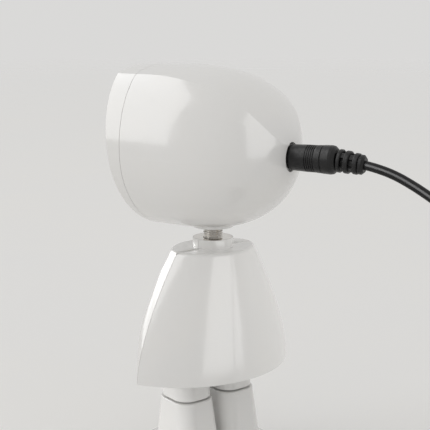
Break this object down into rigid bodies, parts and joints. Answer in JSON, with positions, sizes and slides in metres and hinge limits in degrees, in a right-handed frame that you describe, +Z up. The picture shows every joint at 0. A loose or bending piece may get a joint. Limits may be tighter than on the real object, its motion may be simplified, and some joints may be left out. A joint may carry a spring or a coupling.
{
  "type": "desk lamp figure",
  "caption": "White plastic humanoid figure with a turning lamp head, bell torso and round base, fed by a plug-in cord at the back of the head.",
  "frame": {"origin": "on the floor, on the neck's turning axis", "axes": "+Z up along the neck axis, the figure faces -Y, its own left side is +X"},
  "size_m": [0.0817, 0.1734, 0.164],
  "materials": {
    "white_shell": "high gloss white moulded plastic",
    "base_rubber": "fine matte",
    "base_steel": "black oxide",
    "zinc_steel": "bright zinc plate",
    "bright_steel": "nickel plated, turned",
    "bush_brass": "turned",
    "frame_plastic": "fine spark texture",
    "board_white": "white solder mask",
    "board_green": "green solder mask",
    "led_yellow": "phosphor under clear resin",
    "diffuser_opal": "opal satin",
    "wire_red": "smooth PVC",
    "plug_black": "moulded PVC, satin",
    "plug_nickel": "nickel plated",
    "cord_black": "smooth PVC, satin",
    "tie_black": "woven hook and loop",
    "tongue_white": "satin"
  },
  "bodies": {
    "figure": {"base_cover": "white_shell", "base_pad": "base_rubber", "base_weight": "base_steel", "boot_left": "white_shell", "boot_right": "white_shell", "head_neck_nut": "zinc_steel", "head_spring_washer": "zinc_steel", "hip_block": "zinc_steel", "hip_plate": "white_shell", "hip_plate_screws": "zinc_steel", "leg_bolts": "zinc_steel", "leg_nuts": "zinc_steel", "leg_washers": "zinc_steel", "neck_clip": "zinc_steel", "neck_stud": "bright_steel", "neck_washer": "bright_steel", "thigh_left": "white_shell", "thigh_right": "white_shell", "torso_front_shell": "white_shell", "torso_neck_nut": "zinc_steel", "torso_neck_washer": "zinc_steel", "torso_rear_shell": "white_shell"},
    "head": {"head_rear_shell": "white_shell", "head_front_cover": "white_shell", "face_diffuser": "diffuser_opal", "head_frame": "frame_plastic", "head_frame_screws": "zinc_steel", "led_board": "board_white", "led_board_screws": "zinc_steel", "led_chips": "led_yellow", "driver_board": "board_green", "driver_spacers": "frame_plastic", "driver_chips": "frame_plastic", "dc_jack": "frame_plastic", "jack_pin": "bush_brass", "jack_nut": "frame_plastic", "jack_wires": "wire_red", "neck_bush": "bush_brass"},
    "lead": {"plug_sleeve": "plug_nickel", "plug_core": "plug_black", "plug_body": "plug_black", "plug_relief": "plug_black", "power_cord": "cord_black", "cord_tail": "cord_black", "cord_coil": "cord_black", "cord_tie": "tie_black", "usb_plug_body": "plug_black", "usb_plug_shell": "plug_nickel", "usb_plug_tongue": "tongue_white"}
  },
  "joints": [
    {"name": "head_turn", "type": "hinge", "parent": "figure", "child": "head", "pos_m": [0, 0, 0.104], "axis": [0, 0, 1], "range_deg": [-114, 66]},
    {"name": "plug_pull", "type": "slide", "parent": "head", "child": "lead", "axis": [-0.4067, 0.9135, 0], "range_m": [0, 0.012]}
  ]
}
